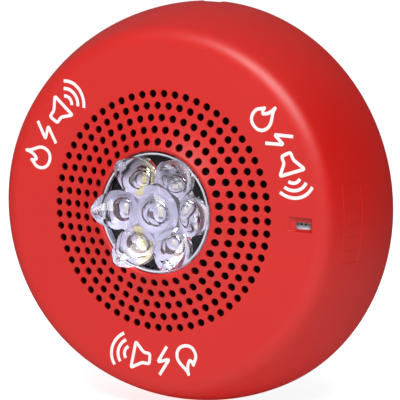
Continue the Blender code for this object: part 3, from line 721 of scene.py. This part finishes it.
def front_cover(materials):
    """The shell with its pierced, flared face. The front surface gets exact normals."""
    holes, window = sound_holes(), window_loops()
    bm = bmesh.new()
    flat, front, back, corners = cover_sheet(bm, holes, window)
    front_loops = [[front[corner] for corner in loop] for loop in corners]
    back_loops = [[back[corner] for corner in loop] for loop in corners]
    for index, path in ((0, outer_path()), (1, opening_path())):
        directions = [flat[corner].normalized() for corner in corners[index]]
        rings = []
        for radius, depth in path:
            rings.append([bm.verts.new((u.x * radius, -depth, u.y * radius)) for u in directions])
        join_rings(bm, [front_loops[index], *rings, back_loops[index]])
    rings = [[bm.verts.new((x, -depth, z)) for x, z in loop] for loop, depth in window[1:-1]]
    join_rings(bm, [front_loops[2], *rings, back_loops[2]])
    for index, centre in enumerate(holes, 3):
        hole_rings(bm, centre, front_loops[index], back_loops[index])
    bmesh.ops.delete(bm, geom=[v for v in bm.verts if not v.link_faces], context="VERTS")
    cover = object_from(bm, "cover_shell", materials["red_shell"])
    add_pivot_lug(cover, materials)
    cut_notch(cover, materials)
    cut_rim_bevel(cover, materials)
    set_face_normals(cover)
    return cover


def add_pivot_lug(cover, materials):
    """The hooked lug inside the rim, round the back of the plate's pin, as in the CAD cover."""
    joint = next(j for j in frame["joints"] if j["name"] == "head_tilt")
    inner, outer = PIN_RADIUS + 0.3 * MM, PIN_RADIUS + 1.3 * MM
    root = (-4.2 * MM, -2.4 * MM)
    loop = arc((0, 0), outer, -20, 180, 16)
    loop += [(root[0], 0.0), root, (-inner, root[1])]
    loop += arc((0, 0), inner, 180, -20, 16)
    bm = bmesh.new()
    sides = []
    for x in (-LUG_WIDTH / 2, LUG_WIDTH / 2):
        sides.append([bm.verts.new((x, back, up)) for up, back in loop])
        bm.faces.new(sides[-1])
    join_rings(bm, sides)
    lug = object_from(bm, "pivot_lug", materials["red_shell"])
    lug.location = joint["pos_m"]
    combine(cover, lug, "UNION")


def cut_notch(cover, materials):
    """The notch in the rim at the top, where the latch comes through."""
    low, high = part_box("release_latch")
    side = 0.8 * MM
    notch = box_piece(
        "notch",
        (low.x - side, low.y - 0.9 * MM, 75 * MM),
        (high.x + side, 1 * MM, 90 * MM),
        materials["red_shell"],
    )
    combine(cover, notch, "DIFFERENCE")


def cut_rim_bevel(cover, materials):
    """The relief that lets the head tilt against the wall, as in the CAD cover."""
    joint = next(j for j in frame["joints"] if j["name"] == "head_tilt")
    tilt = math.radians(joint["range_deg"][1])
    pivot = Vector(joint["pos_m"])
    size = 60 * MM
    clearance = -pivot.y - 0.15 * MM
    block = box_piece(
        "relief",
        (-size / 2, clearance, -size / 2),
        (size / 2, clearance + size, size / 2),
        materials["red_shell"],
    )
    block.matrix_world = Matrix.Translation(pivot) @ Matrix.Rotation(-tilt, 4, "X")
    combine(cover, block, "DIFFERENCE")


def set_face_normals(cover):
    """Gives the vertices of the front surface the normals of the true curved surface."""
    mesh = cover.data
    reach = SHOULDER_START + 0.01 * MM
    exact = {}
    for vert in mesh.vertices:
        radius = math.hypot(vert.co.x, vert.co.z)
        if GRILLE_INNER_RADIUS - 0.01 * MM < radius < reach:
            if abs(-vert.co.y - face_depth(radius)) < 0.004 * MM:
                exact[vert.index] = face_normal(vert.co.x, vert.co.z)
    normals = [Vector(corner.vector) for corner in mesh.corner_normals]
    for loop in mesh.loops:
        if loop.vertex_index in exact:
            normals[loop.index] = exact[loop.vertex_index]
    mesh.normals_split_custom_set(normals)


# -------- lens


def optic_places():
    """(x, z, lean angle) of each optic. The centre one doesn't lean."""
    places = [(0.0, 0.0, None)]
    for k in range(OPTIC_COUNT):
        angle = TURN * k / OPTIC_COUNT
        places.append((OPTIC_CIRCLE * math.cos(angle), OPTIC_CIRCLE * math.sin(angle), angle))
    return places


def optic(x, z, lean, materials):
    """A round column cut to a faceted point that leans outwards. The centre one is lower and upright."""
    aim = (0.0, 0.0) if lean is None else (math.cos(lean), math.sin(lean))
    tip_depth = CENTRE_TIP if lean is None else TIP_DEPTH
    slope = CENTRE_SLOPE if lean is None else TIP_SLOPE
    root = LENS_BACK + 3.0 * MM
    top = tip_depth + 2 * MM
    profile = [(0, root), (OPTIC_FIT, root), (OPTIC_FIT * 0.97, top), (0, top)]
    column = turned("optic", profile, materials["clear_lens"], (x, 0, z), 72)
    reach = (tip_depth - root + 1 * MM) / slope
    nib = 0.5 * MM
    bm = bmesh.new()
    rings = []
    for radius, depth in ((reach, tip_depth - reach * slope), (nib, tip_depth - nib * slope)):
        loop = circle(radius, FACETS, (0, 0), lean or 0.0)
        rings.append([bm.verts.new((px, -depth, pz)) for px, pz in loop])
    bm.faces.new(rings[0])
    join_rings(bm, rings)
    tip = bm.verts.new((0, -(tip_depth - 0.12 * MM), 0))
    for k in range(FACETS):
        bm.faces.new((rings[-1][k], rings[-1][(k + 1) % FACETS], tip))
    facets = object_from(bm, "facets", materials["clear_lens"])
    facets.location = (x + aim[0] * TIP_LEAN, 0, z + aim[1] * TIP_LEAN)
    combine(column, facets, "INTERSECT", "MANIFOLD")
    return column


def optic_hollow(x, z, materials):
    """The domed hollow over an emitter."""
    back = LENS_BACK + 2.5 * MM
    side = 1.2 * MM
    profile = [(0, back), (HOLLOW_RADIUS, back), (HOLLOW_RADIUS - 0.1 * MM, back + 1 * MM)]
    profile += arc((0, back + side), HOLLOW_RADIUS - 0.2 * MM, 10, 80, 7, HOLLOW_HEIGHT - side)
    profile.append((0, back + HOLLOW_HEIGHT))
    return turned("hollow", profile, materials["clear_lens"], (x, 0, z), 40)


def strobe_lens(materials):
    """The clear lens: a flange and skirt, a plate across them, the optics and their hollows."""
    plate_back = LENS_BACK + 2.8 * MM
    plate_front = plate_back + 1.4 * MM
    skirt = LENS_RADIUS - 1.15 * MM
    edge = 0.3 * MM
    lip = 0.55 * MM
    profile = [(skirt, LENS_BACK), (LENS_FLANGE - edge, LENS_BACK), (LENS_FLANGE, LENS_BACK + edge)]
    profile += [(LENS_FLANGE, FLANGE_FRONT - edge), (LENS_FLANGE - edge, FLANGE_FRONT)]
    profile += [(LENS_RADIUS + edge, FLANGE_FRONT), (LENS_RADIUS, FLANGE_FRONT + edge)]
    profile += arc((LENS_RADIUS - lip, SKIRT_FRONT - lip), lip, 0, 180, 6)
    lens = turned("lens_cluster", profile, materials["clear_lens"], segments=144)
    plate_profile = [
        (0, plate_back),
        (OPTIC_CIRCLE, plate_back),
        (OPTIC_CIRCLE, plate_front),
        (HUB_RADIUS, plate_front + 0.4 * MM),
        (HUB_RADIUS - 0.6 * MM, HUB_DEPTH),
        (0, HUB_DEPTH),
    ]
    plate = turned("plate", plate_profile, materials["clear_lens"])
    for x, z, lean in optic_places():
        combine(plate, optic(x, z, lean, materials), "UNION", "MANIFOLD")
    for x, z, _ in optic_places():
        combine(plate, optic_hollow(x, z, materials), "DIFFERENCE", "MANIFOLD")
    combine(lens, plate, "UNION", "MANIFOLD")
    lens.data.shade_smooth()
    lens.data.set_sharp_from_angle(angle=math.radians(30))
    return lens


def lens_rim(materials):
    """A pale opaque ring on the front edge of the lens skirt: a painted highlight, for the light that the clear
    rounded lip catches.
    """
    middle = LENS_RADIUS - 0.55 * MM
    front = SKIRT_FRONT + 0.05 * MM
    profile = arc((middle, front), 0.4 * MM, 0, 180, 12, 0.3 * MM)
    return turned("lens_rim", profile, materials["rim_painted_highlight"], segments=144)


def lens_seal(materials):
    """The rubber ring between the lens flange and the cover, with a thin skirt over the flange."""
    low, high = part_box("lens_gasket")
    back, front = -high.y, -low.y
    inner, outer = LENS_RADIUS + 0.8 * MM, LENS_RADIUS + 2.1 * MM
    half, crown = (outer - inner) / 2, 0.3 * MM
    profile = [(inner, back), *arc((inner + half, front - crown), half, 180, 0, 8, crown)]
    skirt = FLANGE_FRONT
    skirt_edge = LENS_FLANGE - 0.3 * MM
    profile += [(outer, skirt + 0.5 * MM), (skirt_edge - 0.2 * MM, skirt + 0.45 * MM)]
    profile += [(skirt_edge, skirt + 0.3 * MM), (skirt_edge, skirt + 0.1 * MM)]
    profile.append((inner, skirt + 0.1 * MM))
    return turned("lens_seal", profile, materials["black_rubber"], segments=144)


def reflector(number, x, z, materials):
    """A white cup round an emitter, with a flat brim over the black holder."""
    edge = OPTIC_FIT - 0.3 * MM
    profile = [
        (3.0 * MM, CUP_FLOOR),
        (4.6 * MM, CUP_FLOOR + 0.5 * MM),
        (5.7 * MM, CUP_BRIM - 0.6 * MM),
        (6.2 * MM, CUP_BRIM - 0.2 * MM),
        (edge, CUP_BRIM - 0.15 * MM),
        (edge, CUP_BRIM),
        (5.9 * MM, CUP_BRIM),
        (5.3 * MM, CUP_BRIM - 0.4 * MM),
        (4.3 * MM, CUP_FLOOR + 0.7 * MM),
        (3.0 * MM, CUP_FLOOR + 0.25 * MM),
    ]
    material = materials["cup_painted_reflection" if number in PAINTED_REFLECTION_CUPS else "cup"]
    return turned(f"reflector_{number}", profile, material, (x, 0, z), 64)


def reflector_tray(materials):
    """The white web that closes the gaps between the cups, pierced for each of them."""
    radius = OPTIC_FIT - 0.25 * MM
    outline, holes = circle(TRAY_RADIUS, 96), [circle(radius, 48)]
    tray = pierced_plate("reflector_tray", outline, holes, TRAY_BACK, TRAY_FRONT, materials["cup"])
    low, high = TRAY_BACK - 1 * MM, TRAY_FRONT + 1 * MM
    post_profile = [(0, low), (radius, low), (radius, high), (0, high)]
    for x, z, _ in optic_places()[1:]:
        post = turned("post", post_profile, materials["cup"], (x, 0, z), 48)
        combine(tray, post, "DIFFERENCE", "MANIFOLD")
    return tray


def optic_holder(materials):
    """The black moulding round the optics, with a wide well at each emitter."""
    low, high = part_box("optic_holder")
    wells = [circle(WELL_RADIUS, 40, (x, z)) for x, z, _ in optic_places()]
    ends = (-high.y, -low.y)
    return pierced_plate("optic_wells", circle(high.x, 120), wells, *ends, materials["black_plastic"])


def emitter(number, materials):
    """A square LED package and its phosphor face. Under a cup with a painted reflection both are yellow: a painted
    reflection of the emitter image that the optic magnifies.
    """
    low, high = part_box(f"led_{number}")
    under_painted_reflection = number in PAINTED_REFLECTION_CUPS
    # Painted reflection: under these cups the package and face take the deeper yellow of the magnified emitter
    # image.
    package = materials["phosphor" if under_painted_reflection else "white_plastic"]
    base = box_piece(f"emitter_{number}", low, high, package, 0.25 * MM)
    inset = 0.45 * MM
    face = box_piece(
        f"emitter_face_{number}",
        (low.x + inset, low.y - 0.08 * MM, low.z + inset),
        (high.x - inset, low.y + 0.3 * MM, high.z - inset),
        materials["phosphor" if under_painted_reflection else "pale_phosphor"],
        0.15 * MM,
    )
    return base, face


# -------- legend


def flame_outline():
    """The closed outline of a flame, one unit high."""
    top, right, foot, left = (0.40, 1.0), (0.74, 0.34), (0.37, 0.0), (0.0, 0.36)
    lick, dip = (0.17, 0.70), (0.27, 0.52)
    points = bend(top, (0.44, 0.72), (0.74, 0.62), right)
    points += bend(right, (0.74, 0.12), (0.58, 0.0), foot)
    points += bend(foot, (0.16, 0.0), (0.0, 0.12), left)
    points += bend(left, (0.0, 0.52), (0.12, 0.56), lick)
    points += bend(lick, (0.17, 0.62), (0.20, 0.55), dip)
    return points + bend(dip, (0.40, 0.64), (0.42, 0.84), top)


def pictograms():
    """Plain signs one unit high, each as (width, [(closed, points)])."""
    flash = [(0.40, 1.0), (0.03, 0.44), (0.47, 0.56), (0.10, 0.0)]
    horn = [(0.0, 0.32), (0.26, 0.32), (0.64, 0.03), (0.64, 0.97), (0.26, 0.68), (0.0, 0.68)]
    waves = [(False, arc((-0.22, 0.5), radius, -50, 50)) for radius in (0.28, 0.53, 0.78)]
    return [
        (0.74, [(True, flame_outline())]),
        (0.50, [(False, flash)]),
        (0.64, [(True, horn)]),
        (0.56, waves),
    ]


def round_corners(closed, places, cut):
    """Replaces each corner of a 3-D stroke with a short arc, so that the stroke keeps its width there."""
    count = len(places)
    rounded = [] if closed else [places[0]]
    for k in range(0 if closed else 1, count if closed else count - 1):
        here = Vector(places[k])
        before = Vector(places[k - 1]) - here
        after = Vector(places[(k + 1) % count]) - here
        near = here + before.normalized() * min(cut, before.length * 0.4)
        far = here + after.normalized() * min(cut, after.length * 0.4)
        for n in range(5):
            t = n / 4
            rounded.append(near * (1 - t) ** 2 + here * 2 * t * (1 - t) + far * t * t)
    return rounded if closed else [*rounded, places[-1]]


def stroke_mesh(name, strokes, radius, material):
    """Round strokes along 3-D points, as one mesh."""
    curve = bpy.data.curves.new(name, "CURVE")
    curve.dimensions = "3D"
    curve.bevel_depth = radius
    curve.bevel_resolution = 4
    curve.use_fill_caps = True
    for closed, places in strokes:
        spline = curve.splines.new("POLY")
        spline.points.add(len(places) - 1)
        for point, place in zip(spline.points, places):
            point.co = (*place, 1.0)
        spline.use_cyclic_u = closed
    item = placed(name, curve)
    mesh = evaluated_mesh(item)
    bpy.data.objects.remove(item, do_unlink=True)
    mesh.materials.clear()
    mesh.materials.append(material)
    mesh.shade_smooth()
    return mesh


def legend(centre_angle, name, materials):
    """One row of pictograms that runs clockwise along the face, with their tops outwards."""
    signs = pictograms()
    middle = LEGEND_INNER + LEGEND_HEIGHT / 2
    widths = sum(width for width, _ in signs) * LEGEND_HEIGHT
    gap = (LEGEND_SPAN * middle - widths) / (len(signs) - 1)
    along = 0.0
    flat = []
    for width, strokes in signs:
        for closed, points in strokes:
            places = []
            for u, v in points:
                angle = centre_angle + LEGEND_SPAN / 2 - (along + u * LEGEND_HEIGHT) / middle
                radius = LEGEND_INNER + v * LEGEND_HEIGHT
                places.append((radius * math.cos(angle), 0.0, radius * math.sin(angle)))
            flat.append((closed, round_corners(closed, places, 0.9 * MM)))
        along += width * LEGEND_HEIGHT + gap
    mesh = stroke_mesh(name, flat, LEGEND_STROKE / 2, materials["printed_white"])
    relief = 0.10
    mesh.transform(Matrix.Translation((0, -FACE_DEPTH, 0)) @ Matrix.Scale(relief, 4, (0, 1, 0)))
    return placed(name, mesh)


def wall_point(depth, z):
    """A point on the right side of the outer wall."""
    radius = wall_radius(depth)
    return (math.sqrt(radius**2 - z**2), -depth, z)


def side_frame(materials):
    """A plain raised frame with short ribs on the right side of the shell."""
    back, front = FRAME_DEPTHS
    low, high = FRAME_Z
    corners = rounded_box_loop(back, front, low, high, 1.6 * MM)
    outline = []
    for (depth, z), (next_depth, next_z) in zip(corners, corners[1:] + corners[:1]):
        for k in range(8):
            t = k / 8
            outline.append(wall_point(depth + (next_depth - depth) * t, z + (next_z - z) * t))
    strokes = [(True, outline)]
    for k in range(1, 6):
        z = low + (high - low) * k / 6
        rib = [wall_point(back + 2.4 * MM + 0.5 * MM * n, z) for n in range(11)]
        strokes.append((False, rib))
    return placed("side_frame", stroke_mesh("side_frame", strokes, FRAME_BEAD, materials["red_shell"]))


# -------- candela window


def window_insert(materials):
    """The clear insert, with a boss that stands in the slot."""
    insert = box_piece("window_light", INSERT_LOW, INSERT_HIGH, materials["clear_lens"], 0.2 * MM)
    boss = box_piece(
        "boss",
        (SLOT_LEFT + SLOT_PLAY, -(WINDOW_FLOOR + 0.4 * MM), SLOT_LOW + SLOT_PLAY),
        (SLOT_RIGHT - SLOT_PLAY, INSERT_LOW.y + 0.4 * MM, SLOT_HIGH - SLOT_PLAY),
        materials["clear_lens"],
        0.35 * MM,
        3,
    )
    combine(insert, boss, "UNION")
    return insert


def candela_marks(materials):
    """Dark setting marks on the sliding flag."""
    front = FLAG_LOW.y
    half_width = 0.45 * MM
    marks = []
    for number, offset in enumerate((-0.75 * MM, 1.15 * MM), 1):
        x = WINDOW_X + offset
        low = (x - half_width, front - 0.05 * MM, -0.6 * MM)
        high = (x + half_width, front + 0.1 * MM, 1.2 * MM)
        name = f"candela_mark_{number}"
        marks.append(box_piece(name, low, high, materials["black_plastic"], 0.04 * MM, 1))
    return marks


# -------- ribs


def pockets(inner, outer, count, rib):
    """Four-sided openings all round a ring, with ribs of an even width between them."""
    loops = []
    half = TURN / count / 2
    for k in range(count):
        middle = TURN * (k + 0.5) / count
        loop = []
        for radius, side in ((inner, -1), (outer, -1), (outer, 1), (inner, 1)):
            angle = middle + side * (half - rib / 2 / radius)
            loop.append((radius * math.cos(angle), radius * math.sin(angle)))
        loops.append(loop)
    return loops


def housing_ribs(materials):
    """Stiffening ribs on the back of the rear housing, in two rings."""
    back = -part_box("rear_housing")[1].y
    holes = [circle(47 * MM, 120)]
    for inner, outer in ((48.5 * MM, 60 * MM), (61.5 * MM, 73.5 * MM)):
        holes += pockets(inner, outer, HOUSING_POCKETS, HOUSING_RIB)
    outline = circle(75.5 * MM, 120)
    ends = (back - 1.4 * MM, back - 0.02 * MM)
    return pierced_plate("housing_ribs", outline, holes, *ends, materials["black_plastic"])


def plate_ribs(materials):
    """A ring of stiffening ribs on the front of the mounting plate."""
    holes = [circle(51 * MM, 120), *pockets(52.2 * MM, 60 * MM, PLATE_POCKETS, PLATE_RIB)]
    outline = circle(61.5 * MM, 120)
    ends = (PLATE_THICKNESS + 0.02 * MM, PLATE_THICKNESS + 1.2 * MM)
    return pierced_plate("plate_ribs", outline, holes, *ends, materials["grey_plastic"])


# -------- dressing the CAD nodes


def dress_nodes(materials):
    """Every carried-over CAD node gets the material of its slot and softened edges."""
    slots = {row["node"]: row["material_slot"] for row in frame["record"]["subparts"]}
    for name, item in frame["nodes"].items():
        item.data.materials.clear()
        item.data.materials.append(materials[slots[name]])
        if item.hide_render:
            continue
        bevel = item.modifiers.new("soft_edges", "BEVEL")
        bevel.width = 0.18 * MM
        bevel.segments = 2
        bevel.limit_method = "ANGLE"
        bevel.angle_limit = math.radians(40)
        bevel.harden_normals = True


def rides(piece, body, slot, *nodes):
    """Puts a piece on a body and hides the CAD nodes it stands for. The slot argument is not used."""
    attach(piece, body)
    if nodes:
        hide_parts(*nodes)


# -------- stage, lights, camera


def stage():
    """A pale floor that looks a little brighter than it is and lights the shell from below."""
    shader = Shader("floor", (0.93, 0.93, 0.93), 0.6)
    path = shader.add("LightPath", {})
    shader.mix_colour(path.outputs["Is Glossy Ray"], (0.14, 0.14, 0.14))
    shader.bump(shader.noise(40), 0.05 * MM)
    glow = 0.0
    for ray, strength in (("Is Camera Ray", FLOOR_GLOW), ("Is Diffuse Ray", FLOOR_BOUNCE)):
        inputs = {0: path.outputs[ray], 1: strength, 2: glow}
        glow = shader.add("Math", inputs, operation="MULTIPLY_ADD").outputs["Value"]
    shader.set("Emission Strength", glow)
    shader.set("Emission Color", (1.0, 1.0, 1.0, 1.0))
    bm = bmesh.new()
    bmesh.ops.create_grid(bm, x_segments=4, y_segments=4, size=6.0)
    floor = object_from(bm, "floor", shader.material)
    floor.location = (0, 0, cad_box[0][2] - 0.0005)


def softbox():
    """A wide light up in front, aimed at the middle of the mounting face."""
    light = bpy.data.lights.new("softbox", "AREA")
    light.shape = "RECTANGLE"
    light.size, light.size_y = SOFTBOX_SIZE
    light.energy = SOFTBOX_WATTS
    item = placed("softbox", light)
    item.location = SOFTBOX_PLACE
    item.rotation_euler = (-item.location).to_track_quat("-Z", "Y").to_euler()


def dark_card():
    """A card on the right, out of the camera's sight, that darkens what the side wall mirrors."""
    shader = Shader("card", (0.05, 0.05, 0.05), 0.9)
    shader.vary_colour(8, (0.06, 0.06, 0.06), 0.5)
    bm = bmesh.new()
    bmesh.ops.create_grid(bm, x_segments=2, y_segments=2, size=0.5)
    card = object_from(bm, "card", shader.material)
    card.rotation_euler = (0, math.pi / 2, math.radians(-20))
    card.location = CARD_PLACE
    card.visible_camera = False


def sky():
    """A soft studio sky that is brightest overhead."""
    world = bpy.data.worlds.new("studio")
    bpy.context.scene.world = world
    world.use_nodes = True
    tree = world.node_tree
    place = add_node(tree, "TexCoord", {}).outputs["Generated"]
    brightest = Vector((-0.35, -0.35, 0.87)).normalized()
    towards = add_node(tree, "VectorMath", {0: place, 1: brightest}, operation="DOT_PRODUCT")
    inputs = {"Value": towards.outputs["Value"]}
    inputs.update({"From Min": -0.4, "From Max": 1.0, "To Min": 0.08, "To Max": 0.29})
    ramp = add_node(tree, "MapRange", inputs, interpolation_type="SMOOTHSTEP")
    background = tree.nodes["Background"]
    feed(tree, background.inputs["Color"], (1, 1, 1, 1))
    feed(tree, background.inputs["Strength"], ramp.outputs["Result"])


def camera():
    """A long lens, about 27 degrees to the right and 8 degrees up. The fit was made with Y up."""
    ring = (FIRST_RING + RING_COUNT - 1) * RING_PITCH
    level = math.cos(CAMERA_ELEVATION)
    back = Vector((
        math.sin(CAMERA_AZIMUTH) * level,
        math.sin(CAMERA_ELEVATION),
        math.cos(CAMERA_AZIMUTH) * level,
    ))
    right = Vector((0, 1, 0)).cross(back).normalized()
    up = back.cross(right)
    cosine, sine = math.cos(CAMERA_ROLL), math.sin(CAMERA_ROLL)
    right, up = right * cosine + up * sine, up * cosine - right * sine
    offset = ring * sum((axis * share for axis, share in zip((right, up, back), CAMERA_OFFSET)), Vector())
    spin = Matrix.Rotation(SPOKE_TURN, 3, "Z")
    to_row = Matrix(((1, 0, 0), (0, 0, -1), (0, 1, 0)))
    axes = [to_row @ (spin @ axis) for axis in (right, up, back)]
    centre = Vector((0, -face_depth(ring), 0))
    data = bpy.data.cameras.new("camera")
    data.sensor_width = 36.0
    data.lens = FOCAL_LENGTH
    data.clip_end = 20
    item = placed("camera", data)
    rotation = Matrix(axes).transposed().to_4x4()
    item.matrix_world = Matrix.Translation(centre + to_row @ (spin @ offset)) @ rotation
    bpy.context.scene.camera = item


def main():
    materials = make_materials()
    rides(front_cover(materials), "head", "red_shell", "front_cover")
    rides(strobe_lens(materials), "head", "clear_lens", "strobe_lens")
    rides(lens_rim(materials), "head", "clear_lens")
    rides(optic_holder(materials), "head", "black_plastic", "optic_holder")
    rides(window_insert(materials), "head", "clear_lens", "window_insert")
    rides(lens_seal(materials), "head", "black_rubber", "lens_gasket")
    rides(reflector_tray(materials), "head", "white_plastic")
    for number, (x, z, _) in enumerate(optic_places(), 1):
        rides(reflector(number, x, z, materials), "head", "white_plastic")
        base, face = emitter(number, materials)
        rides(base, "head", "white_plastic", f"led_{number}")
        rides(face, "head", "phosphor")
    for mark in candela_marks(materials):
        rides(mark, "candela_selector", "black_plastic")
    for k in range(3):
        row = legend(LEGEND_CENTRE + TURN * k / 3, f"legend_{k + 1}", materials)
        rides(row, "head", "red_shell")
    rides(side_frame(materials), "head", "red_shell")
    rides(housing_ribs(materials), "head", "black_plastic")
    rides(plate_ribs(materials), "base", "grey_plastic")
    dress_nodes(materials)
    stage()
    sky()
    softbox()
    dark_card()
    camera()
    bpy.context.scene.view_settings.view_transform = "Standard"


main()
